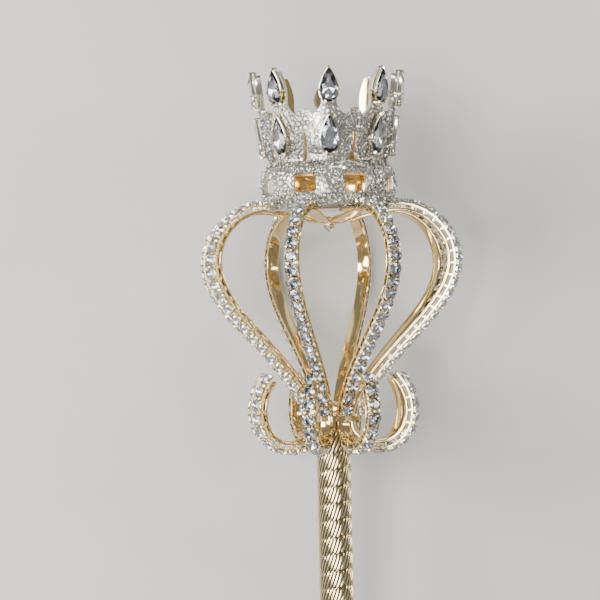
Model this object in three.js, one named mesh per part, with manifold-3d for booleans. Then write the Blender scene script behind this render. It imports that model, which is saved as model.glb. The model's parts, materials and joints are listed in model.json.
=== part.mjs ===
// A crown sceptre, lying as it rests when nobody holds it: on two of its eight arms and on its pommel.
// Each piece is first placed along the sceptre's own axis, with the pommel's end at 0 and the crown's
// tips on top; the whole is then laid down, with the crown towards +Y and slightly raised.
// Lengths are millimetres. A turn is an angle about the sceptre's axis, from the side that ends on top.
import * as THREE from 'three';
import { mergeVertices } from 'three/addons/utils/BufferGeometryUtils.js';
import Module from 'manifold-3d';

const wasm = await Module();
wasm.setup();

// ---- driving dimensions ----
const COUNT = 8; // arms, scrolls and crown peaks
const STEP_TURN = 360 / COUNT;
const JOINT_GAP = 0.3; // left where one piece is soldered or pressed to the next

const SHAFT_RADIUS = 6;
const SHAFT_BOTTOM = 24;
const SHAFT_TOP = 293.3;

const POMMEL_RADIUS = 11;
const POMMEL_CENTRE = 10.2; // height of the ball's centre above its cut end
const POMMEL_COLLAR_RADIUS = 7.6;
const POMMEL_COLLAR_LEVEL = 20.2;
const POMMEL_BALL_END = 58; // degrees above the ball's equator, where its collar starts
const FLAT_DEPTH = 0.4; // the small flat that the pommel lies on

const NECK_RADIUS = 6.35;
const NECK_SHOULDER = 300.5;
const NECK_TOP = 304.5;
const NECK_CAP_RADIUS = 4.2;

const STRIP_WIDTH = 4.5;
const STRIP_THICKNESS = 1;
const ROW_WIDTH = 4.2;
const ROW_HEIGHT = 3.2;

const HUB_RADIUS = 5.4;
const HUB_LEVEL = 367;
const ARM_RADIUS = 43.6; // strip's middle at the cage's widest
const ARM_WIDEST = 352.8;
const LOBE_RADIUS = 25.5;
const LOBE_LEVEL = 370.45;
const ARM_FOOT_RADIUS = 7.2;
const ARM_FOOT_LEVEL = 300;

const SCROLL_RADIUS = 27.2;
const SCROLL_WIDEST = 301;
const SCROLL_TOP_LEVEL = 297;
const SCROLL_LOW_RADIUS = 17;
const SCROLL_LOW_LEVEL = 289.8;
const SCROLL_TIP_RADIUS = 23.3;
const SCROLL_TIP_LEVEL = 311.3;

const CROWN_WALL = 1.5;
const CROWN_SEAT = 371.35; // underside, on the lobes
const CROWN_TOP = 418.6;
const WAIST_LEVEL = 387.6;
const WAIST_RADIUS = 20.2;
const DRUM_RADIUS = 22.9;
const TIP_RADIUS = 24.5;
// The peaks stand where the crown was bent by hand, so their turns are not quite equal.
const PEAK_TURNS = [0, 46, 90, 139, 180, 216, 270, 314];
const CROWN_TURN = -4; // the front peak, from the side that ends on top
const ARM_TURN = STEP_TURN / 2; // the first arm, so that two arms share the ground

// How finely round and bent solids are cut into flat faces.
const TUBE_SIDES = 32;
const TURNED_SIDES = 24;
const HUB_SIDES = 16;
const CROWN_SIDES = 36;
const ARM_STRIP_STEPS = 22;
const ARM_ROW_STEPS = 20;
const SCROLL_STRIP_STEPS = 13;
const SCROLL_ROW_STEPS = 10;

const gold = { color: 0xd8b36a, roughness: 0.22, metalness: 1 };
const paleGold = { color: 0xe3cf9f, roughness: 0.25, metalness: 1 };
const setStones = { color: 0xdfe3e6, roughness: 0.12, metalness: 0.6 };
const clearStone = { color: 0xf2f5f7, roughness: 0.03, metalness: 0.1 };

const radians = THREE.MathUtils.degToRad;
const vec2 = (x, y) => new THREE.Vector2(x, y);

const sceptre = new THREE.Group();

function addPiece(name, geometry, finish) {
  const piece = new THREE.Mesh(geometry, new THREE.MeshStandardMaterial(finish));
  piece.name = name;
  sceptre.add(piece);
  return piece;
}

/** Turns a drawing in radius (x) and height (y) so that its height runs along the sceptre's axis, and
 * its radius points to the given turn. */
function faceTurn(piece, turn) {
  piece.rotation.z = radians(turn - 90);
  return piece;
}

/** A solid of revolution about the sceptre's axis, from [radius, height] pairs. */
function turned(profile, sides) {
  return new THREE.LatheGeometry(profile.map(([r, h]) => vec2(r, h)), sides).rotateX(Math.PI / 2);
}

/** Cubic arcs joined end to end, each given by its two handles and its end. */
function bentPath(start, ...arcs) {
  const path = new THREE.CurvePath();
  let from = start;
  for (const [handle1, handle2, to] of arcs) {
    path.add(new THREE.CubicBezierCurve(vec2(...from), vec2(...handle1), vec2(...handle2), vec2(...to)));
    from = to;
  }
  return path;
}

/** A flat bar bent along a path, between two fractions of its length. Its faces lie at the offsets
 * near and far to the left of the path, and its width lies across the drawing. */
function bentBar(path, near, far, width, [from, to], steps) {
  const side = (offset) => Array.from({ length: steps + 1 }, (_, i) => {
    const t = from + ((to - from) * i) / steps;
    const tangent = path.getTangent(t);
    return path.getPoint(t).add(vec2(-tangent.y, tangent.x).multiplyScalar(offset));
  });
  const outline = new THREE.Shape([...side(near), ...side(far).reverse()]);
  return new THREE.ExtrudeGeometry(outline, { depth: width, bevelEnabled: false })
    .translate(0, 0, -width / 2)
    .rotateX(Math.PI / 2);
}

// ---- booleans ----
function toSolid(geometry) {
  const shape = geometry.clone();
  shape.deleteAttribute('normal');
  shape.deleteAttribute('uv');
  const merged = mergeVertices(shape, 1e-4);
  return new wasm.Manifold(new wasm.Mesh({
    numProp: 3,
    vertProperties: new Float32Array(merged.attributes.position.array),
    triVerts: new Uint32Array(merged.index.array),
  }));
}

function toGeometry(solid) {
  const mesh = solid.getMesh();
  const geometry = new THREE.BufferGeometry();
  geometry.setAttribute('position', new THREE.BufferAttribute(mesh.vertProperties, 3));
  geometry.setIndex(new THREE.BufferAttribute(mesh.triVerts, 1));
  geometry.computeVertexNormals();
  return geometry;
}

// ---- how it lies: a line under the lowest arms and under the pommel's flat ----
const rowOuter = STRIP_THICKNESS / 2 + JOINT_GAP + ROW_HEIGHT;
const armReach = (ARM_RADIUS + rowOuter) * Math.cos(radians(ARM_TURN))
  + (ROW_WIDTH / 2) * Math.sin(radians(ARM_TURN));
const pommelReach = POMMEL_RADIUS - FLAT_DEPTH;
const restTilt = Math.atan2(armReach - pommelReach, ARM_WIDEST - POMMEL_CENTRE);

// ---- handle tube ----
addPiece('handle_tube', turned([
  [0, SHAFT_BOTTOM], [SHAFT_RADIUS, SHAFT_BOTTOM], [SHAFT_RADIUS, SHAFT_TOP], [0, SHAFT_TOP],
], TUBE_SIDES), paleGold);

// ---- pommel: a ball with a cut end and a collar, and the small flat it lies on ----
function pommel() {
  const cutRadius = Math.sqrt(POMMEL_RADIUS ** 2 - POMMEL_CENTRE ** 2);
  const bottom = Math.atan2(-POMMEL_CENTRE, cutRadius);
  const top = radians(POMMEL_BALL_END);
  const steps = 7;
  const ball = Array.from({ length: steps + 1 }, (_, i) => {
    const a = bottom + ((top - bottom) * i) / steps;
    return [POMMEL_RADIUS * Math.cos(a), POMMEL_CENTRE + POMMEL_RADIUS * Math.sin(a)];
  });
  const collarTop = SHAFT_BOTTOM - JOINT_GAP;
  const solid = toSolid(turned([
    [0, 0], ...ball, [POMMEL_COLLAR_RADIUS, POMMEL_COLLAR_LEVEL], [POMMEL_COLLAR_RADIUS, collarTop - 0.6],
    [POMMEL_COLLAR_RADIUS - 0.6, collarTop], [0, collarTop],
  ], TURNED_SIDES));
  const depth = 4;
  const below = new THREE.BoxGeometry(3 * POMMEL_RADIUS, depth, 3 * POMMEL_RADIUS)
    .translate(0, pommelReach + depth / 2, 0)
    .rotateX(-restTilt)
    .translate(0, 0, POMMEL_CENTRE);
  return toGeometry(solid.subtract(toSolid(below)));
}
addPiece('pommel', pommel(), gold);

// ---- neck: ferrule and rounded cap that all strips are soldered to ----
addPiece('neck', turned([
  [0, SHAFT_TOP + JOINT_GAP], [NECK_RADIUS, SHAFT_TOP + JOINT_GAP], [NECK_RADIUS, NECK_SHOULDER],
  [NECK_CAP_RADIUS + 1, 302.2], [NECK_CAP_RADIUS - 0.6, 303.7], [2, NECK_TOP - 0.2], [0, NECK_TOP],
], TURNED_SIDES), gold);

// ---- hub: round nut under the crown, with a small drop below it ----
addPiece('hub', turned([
  [0, 363.3], [1, 363.8], [2.2, 365], [2.1, 365.6], [HUB_RADIUS - 0.6, HUB_LEVEL - 1.4],
  [HUB_RADIUS, HUB_LEVEL - 0.8], [HUB_RADIUS, HUB_LEVEL + 0.8], [HUB_RADIUS - 1.2, HUB_LEVEL + 1.5],
  [0, HUB_LEVEL + 1.9],
], HUB_SIDES), gold);

// ---- arms: flat strips from the hub over the lobe to the neck, each with its row of set stones ----
const armPath = bentPath(
  [HUB_RADIUS + 0.4, HUB_LEVEL],
  [[11.5, 367.9], [18.5, LOBE_LEVEL], [LOBE_RADIUS, LOBE_LEVEL]],
  [[34.7, LOBE_LEVEL], [ARM_RADIUS, 362.5], [ARM_RADIUS, ARM_WIDEST]],
  [[ARM_RADIUS, 343.5], [35, 335.2], [26, 326]],
  [[17, 316.8], [9.4, 308.6], [ARM_FOOT_RADIUS, ARM_FOOT_LEVEL]],
);
const ARM_ROW_SPAN = [0.165, 0.985]; // from the crown's rim to the neck
const armStrip = bentBar(
  armPath, -STRIP_THICKNESS / 2, STRIP_THICKNESS / 2, STRIP_WIDTH, [0, 1], ARM_STRIP_STEPS,
);
const rowInner = STRIP_THICKNESS / 2 + JOINT_GAP;
const armRow = bentBar(armPath, rowInner, rowOuter, ROW_WIDTH, ARM_ROW_SPAN, ARM_ROW_STEPS);

// ---- scrolls: J-shaped strips from the neck, with the stones on their outer side ----
const scrollPath = bentPath(
  [ARM_FOOT_RADIUS, SCROLL_TOP_LEVEL],
  [[ARM_FOOT_RADIUS, 292.2], [11.5, SCROLL_LOW_LEVEL], [SCROLL_LOW_RADIUS, SCROLL_LOW_LEVEL]],
  [[23, SCROLL_LOW_LEVEL], [SCROLL_RADIUS, 294.6], [SCROLL_RADIUS, SCROLL_WIDEST]],
  [[SCROLL_RADIUS, 305], [25.6, 308.6], [SCROLL_TIP_RADIUS, SCROLL_TIP_LEVEL]],
);
const SCROLL_ROW_SPAN = [0.24, 0.995]; // from clear of the tube to the tip
const scrollStrip = bentBar(
  scrollPath, -STRIP_THICKNESS / 2, STRIP_THICKNESS / 2, STRIP_WIDTH, [0, 1], SCROLL_STRIP_STEPS,
);
const scrollRow = bentBar(
  scrollPath, -rowOuter, -rowInner, ROW_WIDTH, SCROLL_ROW_SPAN, SCROLL_ROW_STEPS,
);

for (let i = 0; i < COUNT; i += 1) {
  const turn = ARM_TURN + i * STEP_TURN;
  faceTurn(addPiece(`arm_strip_${i + 1}`, armStrip, gold), turn);
  faceTurn(addPiece(`arm_stone_row_${i + 1}`, armRow, setStones), turn);
  faceTurn(addPiece(`scroll_strip_${i + 1}`, scrollStrip, gold), turn);
  faceTurn(addPiece(`scroll_stone_row_${i + 1}`, scrollRow, setStones), turn);
}

// ---- crown: one casting, with windows in its drum, a waist, and eight peaks with rounded lobes
// between them ----
const crownOuter = [
  [WAIST_RADIUS, CROWN_SEAT], [21.9, 373.6], [DRUM_RADIUS, 378.6], [22.3, 384.4],
  [WAIST_RADIUS, WAIST_LEVEL], [21.6, 393.5], [23, 404], [TIP_RADIUS, CROWN_TOP],
];
/** Radius of the crown's outer face at a height. */
function crownRadius(height) {
  const i = crownOuter.findIndex(([, h]) => h >= height);
  const [[r0, h0], [r1, h1]] = [crownOuter[i - 1], crownOuter[i]];
  return r0 + ((r1 - r0) * (height - h0)) / (h1 - h0);
}

const DRUM_WINDOW = { low: 376.4, high: 383.2, width: 8.6 };
const PLAIN_PANELS = [3, 4]; // the gaps between peaks at the back, where the drum has no window
const LOBE = { radius: 2.7, centre: 402.7, valley: 403.2 };
// Half widths of the spire behind an upper pear stone, with their levels.
const SPIRE = [[3.3, 405.2], [2.6, 407], [3, 411], [1.1, CROWN_TOP]];
const KEYHOLE = { low: 387.4, shoulder: 390.2, high: 397, lowWidth: 3.6, slitWidth: 1.1 };

/** The space above one rounded lobe, between two spires, as an outline across the crown's wall. */
function spaceAboveLobe(halfTurn) {
  const beside = (halfWidth) => TIP_RADIUS
    * Math.sin(radians(halfTurn) - Math.asin(halfWidth / TIP_RADIUS));
  const right = [
    vec2(LOBE.radius, LOBE.valley - 0.4),
    vec2(LOBE.radius + 1.4, LOBE.valley),
    ...SPIRE.map(([halfWidth, level]) => vec2(beside(halfWidth), level)),
    vec2(beside(1), CROWN_TOP + 6),
  ];
  const left = right.map(({ x, y }) => vec2(-x, y)).reverse();
  const shape = new THREE.Shape(left);
  shape.absarc(0, LOBE.centre, LOBE.radius, Math.PI, 0, true);
  right.forEach(({ x, y }) => shape.lineTo(x, y));
  return shape;
}

function rectangle(width, low, high) {
  return new THREE.Shape([
    vec2(-width / 2, low), vec2(width / 2, low), vec2(width / 2, high), vec2(-width / 2, high),
  ]);
}

/** The keyhole under one lobe: a slit above a wide foot. */
function keyhole() {
  const { low, shoulder, high, lowWidth, slitWidth } = KEYHOLE;
  return new THREE.Shape([
    vec2(-lowWidth / 2, low), vec2(lowWidth / 2, low), vec2(slitWidth / 2, shoulder),
    vec2(slitWidth / 2, high), vec2(-slitWidth / 2, high), vec2(-slitWidth / 2, shoulder),
  ]);
}

/** A cutter that goes out through the crown's wall at a turn. */
function wallCutter(shape, turn) {
  const near = 15; // clear of the axis, and as deep again past the wall
  return toSolid(new THREE.ExtrudeGeometry(shape, { depth: near, bevelEnabled: false, curveSegments: 5 })
    .rotateX(Math.PI / 2)
    .translate(0, -near, 0)
    .rotateZ(radians(turn)));
}

function crown() {
  const inner = crownOuter.filter(([, h]) => h <= WAIST_LEVEL || h === CROWN_TOP)
    .map(([r, h]) => [r - CROWN_WALL, h]).reverse();
  let solid = toSolid(turned([...crownOuter, ...inner, crownOuter[0]], CROWN_SIDES));
  PEAK_TURNS.forEach((turn, i) => {
    const next = PEAK_TURNS[(i + 1) % COUNT] + (i + 1 === COUNT ? 360 : 0);
    const middle = CROWN_TURN + (turn + next) / 2;
    const cuts = [spaceAboveLobe((next - turn) / 2), keyhole()];
    if (!PLAIN_PANELS.includes(i)) {
      cuts.push(rectangle(DRUM_WINDOW.width, DRUM_WINDOW.low, DRUM_WINDOW.high));
    }
    for (const cut of cuts) solid = solid.subtract(wallCutter(cut, middle));
  });
  return toGeometry(solid);
}
addPiece('crown', crown(), paleGold);

// ---- pear stones: a round foot and a pointed top, with a sloping rim around a flat table ----
const LOWER_PEAR = { width: 6.4, height: 13.2, depth: 2.4, level: 396.6 };
const UPPER_PEAR = { width: 6.6, height: 11.8, depth: 2.8, level: 413.2 };
const PEAR_SIDES = 10;
const PEAR_SWELL = 1.3; // brings a drop-shaped curve to its full width

function pearStone({ width, height, depth }) {
  const rim = 0.8; // width and height of the sloping rim
  const outline = Array.from({ length: PEAR_SIDES }, (_, i) => {
    const a = (2 * Math.PI * i) / PEAR_SIDES;
    return vec2((width / 2 - rim) * Math.sin(a) * Math.abs(Math.sin(a / 2)) * PEAR_SWELL,
      (height / 2 - rim) * Math.cos(a));
  });
  return new THREE.ExtrudeGeometry(new THREE.Shape(outline), {
    depth: depth - 2 * rim, bevelSize: rim, bevelThickness: rim, bevelSegments: 1,
  }).translate(0, 0, rim).rotateX(Math.PI / 2);
}

/** Sets a pear stone on the crown's outer face, leaning with it. */
function setPear(name, size, turn) {
  const half = size.height / 2;
  const top = Math.min(size.level + half, CROWN_TOP);
  const low = size.level - half;
  const lean = Math.atan2(crownRadius(top) - crownRadius(low), top - low);
  const holder = new THREE.Group();
  holder.rotation.z = radians(turn);
  sceptre.add(holder);
  const stone = addPiece(name, pearStone(size), clearStone);
  holder.add(stone);
  stone.position.set(0, -crownRadius(size.level) - 2 * JOINT_GAP, size.level);
  stone.rotation.x = lean;
}
PEAK_TURNS.forEach((turn, i) => {
  setPear(`lower_pear_stone_${i + 1}`, LOWER_PEAR, CROWN_TURN + turn);
  setPear(`upper_pear_stone_${i + 1}`, UPPER_PEAR, CROWN_TURN + turn);
});

// ---- laid down, with the middle of its footprint at the origin ----
const part = new THREE.Group();
part.add(sceptre);
sceptre.rotation.x = restTilt - Math.PI / 2;
part.updateMatrixWorld(true);
const box = new THREE.Box3().setFromObject(part, true);
const middle = box.getCenter(new THREE.Vector3());
part.position.set(-middle.x, -middle.y, -box.min.z);
part.updateMatrixWorld(true);

export default part;
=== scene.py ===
# A crown sceptre of gold-plated metal and rhinestones, lying as it rests when nobody holds it.
# It is made in the order that the real one is put together, one section for each piece or group of
# like pieces. A section draws in millimetres about the sceptre's own axis, with +Z towards the crown
# and -Y on the side that ends on top; what it draws is then laid where the frame has the sceptre.
import json
import math
import random

import bmesh
import bpy
from mathutils import Euler, Matrix, Vector


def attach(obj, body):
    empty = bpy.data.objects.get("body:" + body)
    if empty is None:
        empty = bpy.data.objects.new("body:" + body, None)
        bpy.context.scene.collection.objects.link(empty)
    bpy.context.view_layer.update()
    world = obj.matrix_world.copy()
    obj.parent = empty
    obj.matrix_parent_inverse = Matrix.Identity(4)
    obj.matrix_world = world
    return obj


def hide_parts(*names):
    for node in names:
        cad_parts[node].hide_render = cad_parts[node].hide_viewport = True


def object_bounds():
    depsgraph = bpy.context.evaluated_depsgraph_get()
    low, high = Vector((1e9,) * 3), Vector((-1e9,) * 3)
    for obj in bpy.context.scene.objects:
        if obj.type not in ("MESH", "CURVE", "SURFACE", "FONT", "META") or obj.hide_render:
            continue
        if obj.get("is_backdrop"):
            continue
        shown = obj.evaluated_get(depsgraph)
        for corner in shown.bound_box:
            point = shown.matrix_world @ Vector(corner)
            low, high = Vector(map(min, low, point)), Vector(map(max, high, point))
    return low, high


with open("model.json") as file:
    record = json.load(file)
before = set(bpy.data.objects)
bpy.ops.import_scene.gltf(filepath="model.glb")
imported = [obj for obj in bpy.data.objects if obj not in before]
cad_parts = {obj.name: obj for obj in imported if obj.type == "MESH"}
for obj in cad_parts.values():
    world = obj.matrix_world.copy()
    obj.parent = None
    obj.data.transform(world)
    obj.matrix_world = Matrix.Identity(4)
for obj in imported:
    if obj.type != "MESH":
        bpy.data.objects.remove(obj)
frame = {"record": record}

cad_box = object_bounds()

# ---- How the sceptre lies ----
# It rests on two arms of its cage and on the flat of its pommel, so its axis rises towards the crown.
# The pommel's end face gives the axis: it looks straight back along it.
end_face = frame["record"]["mounts"][0]
along = -Vector(end_face["axis"])
across = Vector((1, 0, 0))
TURNED = Matrix((across, along.cross(across), along)).transposed()
LAID = Matrix.Translation(end_face["pos_m"]) @ TURNED.to_4x4() @ Matrix.Scale(0.001, 4)


def at_turn(turn, radius, height):
    """A point by its turn about the axis, in degrees from the top side, its radius and its height."""
    angle = math.radians(turn)
    return Vector((radius * math.sin(angle), -radius * math.cos(angle), height))


# ---- Camera ----
# A long lens looks down on the crowned end, square to the sceptre and a little from its left.
VIEW_TURN = -5.5
VIEW_RISE = -0.6
VIEW_ROLL = math.radians(1.2)
VIEW_WIDTH = 210
VIEW_DISTANCE = 1050
VIEW_MIDDLE = 339.5
VIEW_LEFT = 10.7


def placed_object(name, data):
    """A new object in the scene."""
    made = bpy.data.objects.new(name, data)
    bpy.context.scene.collection.objects.link(made)
    return made


turn = math.radians(VIEW_TURN)
rise = math.radians(VIEW_RISE)
outwards = Vector((math.sin(turn) * math.cos(rise), -math.cos(turn) * math.cos(rise), math.sin(rise)))
level = Vector((math.cos(turn), math.sin(turn), 0))
upright = outwards.cross(level)
right = level * math.cos(VIEW_ROLL) - upright * math.sin(VIEW_ROLL)
aim = Vector((0, 0, VIEW_MIDDLE)) - right * VIEW_LEFT
lens = bpy.data.cameras.new("long_lens")
lens.sensor_width = 36
lens.lens = lens.sensor_width * VIEW_DISTANCE / VIEW_WIDTH
camera = placed_object("camera", lens)
camera.matrix_world = (
    Matrix.Translation(LAID @ (aim + outwards * VIEW_DISTANCE))
    @ (TURNED @ Matrix((right, outwards.cross(right), outwards)).transposed()).to_4x4()
)
bpy.context.scene.camera = camera


# ---- Floor and light ----
# A matt pale table under large softboxes. The boxes are narrow enough that cut stones and gold show
# them as separate bright shapes with darker grey between.
def linear(hex_colour):
    """sRGB hex to linear RGBA."""
    parts = [int(hex_colour[i:i + 2], 16) / 255 for i in (1, 3, 5)]
    return [c / 12.92 if c <= 0.04045 else ((c + 0.055) / 1.055) ** 2.4 for c in parts] + [1]


def add(tree, kind, inputs=None, **settings):
    """Adds a node with its settings. An input takes a value, or an output to be linked to."""
    made = tree.nodes.new(kind)
    for name, value in settings.items():
        setattr(made, name, value)
    for key, value in (inputs or {}).items():
        if isinstance(value, bpy.types.NodeSocket):
            tree.links.new(value, made.inputs[key])
        else:
            made.inputs[key].default_value = value
    return made


def compute(tree, operation, *values):
    """The result of a maths node on values or other results."""
    return add(tree, "ShaderNodeMath", dict(enumerate(values)), operation=operation).outputs[0]


def new_material(name):
    """An empty material, its node tree and the shader that everything goes into."""
    made = bpy.data.materials.new(name)
    made.use_nodes = True
    made.node_tree.nodes.clear()
    shader = add(made.node_tree, "ShaderNodeBsdfPrincipled")
    add(made.node_tree, "ShaderNodeOutputMaterial", {"Surface": shader.outputs[0]})
    return made, made.node_tree, shader


def blend(tree, share, first, second):
    """A colour between two hex colours, or from a colour result to a hex colour, by a share."""
    first = linear(first) if isinstance(first, str) else first
    return add(
        tree, "ShaderNodeMix", {0: share, 6: first, 7: linear(second)}, data_type="RGBA").outputs[2]


def noise(tree, per_metre, detail):
    """A soft noise over the object, by its features to the metre."""
    place = add(tree, "ShaderNodeTexCoord").outputs["Object"]
    return add(
        tree, "ShaderNodeTexNoise", {"Vector": place, "Scale": per_metre, "Detail": detail}).outputs[0]


# Matt painted board: a faint mottle of its rolled paint, too soft to give a highlight.
FLOOR_HALF = 3.0
MOTTLES_PER_METRE = 9.0
floor_paint, tree, shader = new_material("matt_painted_board")
mottle = noise(tree, MOTTLES_PER_METRE, 3.0)
tree.links.new(blend(tree, mottle, "#CDCBC7", "#D3D1CD"), shader.inputs["Base Color"])
shader.inputs["Roughness"].default_value = 0.75

floor_mesh = bpy.data.meshes.new("table")
corners = [(x * FLOOR_HALF, y * FLOOR_HALF, 0) for x, y in ((-1, -1), (1, -1), (1, 1), (-1, 1))]
floor_mesh.from_pydata(corners, [], [(0, 1, 2, 3)])
floor_mesh.materials.append(floor_paint)
placed_object("table", floor_mesh)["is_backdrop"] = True

lit_point = LAID @ Vector((0, 0, 350))


def softbox(name, away, width, depth, watts, colour="#FFFFFF"):
    """An area light that faces the crowned end from a direction and distance, in metres."""
    light = bpy.data.lights.new(name, "AREA")
    light.shape = "RECTANGLE"
    light.size, light.size_y = width, depth
    light.energy = watts
    light.color = linear(colour)[:3]
    box = placed_object(name, light)
    box.location = lit_point + Vector(away)
    box.rotation_euler = (-Vector(away)).to_track_quat("-Z", "Y").to_euler()
    box.visible_camera = False


softbox("overhead_softbox", (-0.6, -0.2, 1.2), 0.6, 0.5, 14)
softbox("key_softbox", (-1.05, 0.15, 0.5), 0.4, 0.8, 22)
softbox("side_strip", (0.95, 0.1, 0.35), 0.06, 0.8, 3, "#FFF4E2")
softbox("foot_strip", (-0.15, -1.0, 0.6), 0.6, 0.12, 5)
softbox("head_strip", (0.25, 0.95, 0.75), 0.5, 0.12, 6)

world = bpy.data.worlds.new("pale_studio")
world.use_nodes = True
world.node_tree.nodes["Background"].inputs["Color"].default_value = linear("#D3D4D4")
world.node_tree.nodes["Background"].inputs["Strength"].default_value = 0.42
bpy.context.scene.world = world

# ---- Handle tube ----
# A thin brass tube, rolled with slanting ribs that a shallow groove breaks as it winds up the tube,
# then plated in pale gold. The ribs shift by half a rib at every turn of the groove.
TUBE_RADIUS = 6.0
TUBE_ENDS = (24.0, 293.3)
RIBS_AROUND = 27.5
GROOVE_PITCH = 5.87
RIB_SLANT = 0.384
RIB_DEPTH = 0.42
RIB_END_POWER = 0.18
BAND_BULGE = 0.06
TUBE_SIDES, TUBE_RINGS = 165, 450
RIB_CREASE = 70


def new_tree(name, **sizes):
    """A geometry tree with a geometry input and one named input for each size, object or material."""
    made = bpy.data.node_groups.new(name, "GeometryNodeTree")
    kinds = {int: "Int", float: "Float", bpy.types.Object: "Object", bpy.types.Material: "Material"}
    made.interface.new_socket("Geometry", in_out="INPUT", socket_type="NodeSocketGeometry")
    made.interface.new_socket("Geometry", in_out="OUTPUT", socket_type="NodeSocketGeometry")
    for size, kind in sizes.items():
        made.interface.new_socket(size, in_out="INPUT", socket_type=f"NodeSocket{kinds[kind]}")
    given = add(made, "NodeGroupInput").outputs
    return made, given


def finish_tree(tree, grown, material):
    """Ends a tree: instances become mesh, and the mesh gets its material."""
    real = add(tree, "GeometryNodeRealizeInstances", {0: grown})
    finished = add(tree, "GeometryNodeSetMaterial", {"Geometry": real.outputs[0], "Material": material})
    add(tree, "NodeGroupOutput", {0: finished.outputs[0]})


def lay_piece(mesh, name, nodes, crease=30):
    """Lays a finished mesh in its place as a piece that stands for CAD nodes."""
    mesh.name = name
    mesh.transform(LAID)
    if crease:
        mesh.shade_smooth()
        mesh.set_sharp_from_angle(angle=math.radians(crease))
    else:
        mesh.shade_flat()
    piece = placed_object(name, mesh)
    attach(piece, "root")
    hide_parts(*nodes)


def baked(holder):
    """An object's mesh with its modifiers taken in. The object is used up."""
    mesh = bpy.data.meshes.new_from_object(holder.evaluated_get(bpy.context.evaluated_depsgraph_get()))
    holder.modifiers.clear()
    bpy.data.objects.remove(holder)
    return mesh


def as_mesh(solid, name):
    """A mesh from a shape under construction, which is used up."""
    mesh = bpy.data.meshes.new(name)
    solid.to_mesh(mesh)
    solid.free()
    return mesh


def grow(tree, start, **inputs):
    """Runs a geometry tree on a starting mesh and returns what it grows as a plain mesh."""
    holder = placed_object("holder", start)
    modifier = holder.modifiers.new("grow", "NODES")
    modifier.node_group = tree
    for socket in tree.interface.items_tree:
        if socket.in_out == "INPUT" and socket.name in inputs:
            modifier[socket.identifier] = inputs[socket.name]
    return baked(holder)


def gold_plate(name, light, deep, cloud_mm, roughness, polish_mm, polish_depth_mm):
    """Plated gold: two close golds in soft clouds, a polish that varies, and a faint hammered skin."""
    made, tree, shader = new_material(name)
    colour = blend(tree, noise(tree, 1000 / cloud_mm, 4.0), light, deep)
    tree.links.new(colour, shader.inputs["Base Color"])
    shader.inputs["Metallic"].default_value = 1.0
    grain = noise(tree, 1000 / polish_mm, 6.0)
    polish = add(
        tree, "ShaderNodeMapRange", {"Value": grain, "To Min": roughness[0], "To Max": roughness[1]})
    tree.links.new(polish.outputs[0], shader.inputs["Roughness"])
    skin = add(
        tree, "ShaderNodeBump",
        {"Height": grain, "Distance": polish_depth_mm / 1000, "Strength": 1.0})
    tree.links.new(skin.outputs[0], shader.inputs["Normal"])
    return made, tree, shader, colour


# Pale gold plate over rolled brass, in soft clouds of two close golds. Down in the grooves the colour
# is painted darker as painted shade, the more so the deeper the groove.
rolled_gold, tree, shader, colour = gold_plate(
    "rolled_pale_gold_plate", "#F2E6C6", "#E8D3A0", 14, (0.07, 0.2), 1.6, 0.008)
place = add(tree, "ShaderNodeTexCoord").outputs["Object"]
shift = -(LAID.translation @ TURNED)
centred = add(
    tree, "ShaderNodeMapping",
    {"Vector": place, "Location": shift, "Rotation": TURNED.inverted().to_euler()}, vector_type="POINT")
flattened = add(
    tree, "ShaderNodeVectorMath", {0: centred.outputs[0], 1: (1, 1, 0)}, operation="MULTIPLY")
reach = add(tree, "ShaderNodeVectorMath", {0: flattened.outputs[0]}, operation="LENGTH").outputs["Value"]
# Painted shade: the colour is blended towards a dark gold the deeper a point lies in a groove.
painted_groove_shade = add(
    tree, "ShaderNodeMapRange",
    {"Value": reach, "From Min": (TUBE_RADIUS - RIB_DEPTH) / 1000, "From Max": TUBE_RADIUS / 1000,
     "To Min": 1.0, "To Max": 0.0})
groove_shaded_colour = blend(tree, painted_groove_shade.outputs[0], colour, "#8C7446")
tree.links.new(groove_shaded_colour, shader.inputs["Base Color"])

# The ribs are columns of vertices that lean with them. A point's turns round the tube and its height
# give how far it has wound along the groove: whole numbers are bands, the rest is its place within one.
tree, given = new_tree(
    "rolled_ribs", Radius=float, Ribs=float, Pitch=float, Slant=float, Depth=float, Bulge=float,
    Material=bpy.types.Material)
here = add(tree, "GeometryNodeInputPosition").outputs[0]
spot = add(tree, "ShaderNodeSeparateXYZ", {0: here}).outputs
turns = compute(tree, "DIVIDE", compute(tree, "ARCTAN2", spot[1], spot[0]), math.tau)
girth = compute(tree, "MULTIPLY", given["Radius"], math.tau)
lean = compute(tree, "DIVIDE", compute(tree, "MULTIPLY", spot[2], given["Slant"]), girth)
leant = compute(tree, "ADD", turns, lean)
wound = compute(tree, "SUBTRACT", compute(tree, "DIVIDE", spot[2], given["Pitch"]), leant)
within = compute(tree, "FRACT", wound)
arch = compute(tree, "SINE", compute(tree, "MULTIPLY", within, math.pi))
full_arch = compute(tree, "POWER", arch, RIB_END_POWER)
shifted = compute(tree, "MULTIPLY", compute(tree, "FLOOR", wound), 0.5)
count = compute(tree, "MULTIPLY_ADD", turns, given["Ribs"], shifted)
ridge = compute(tree, "ABSOLUTE", compute(tree, "SINE", compute(tree, "MULTIPLY", count, math.pi)))
raised = compute(tree, "SUBTRACT", compute(tree, "MULTIPLY", ridge, full_arch), 1.0)
cut = compute(tree, "MULTIPLY_ADD", raised, given["Depth"], given["Radius"])
sunk = compute(tree, "SUBTRACT", arch, 1.0)
radius = compute(tree, "MULTIPLY_ADD", sunk, given["Bulge"], cut)
heading = compute(tree, "MULTIPLY", leant, math.tau)
unit = add(
    tree, "ShaderNodeCombineXYZ",
    {0: compute(tree, "COSINE", heading), 1: compute(tree, "SINE", heading)}).outputs[0]
spoke = add(tree, "ShaderNodeVectorMath", {0: unit, "Scale": radius}, operation="SCALE").outputs[0]
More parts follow.
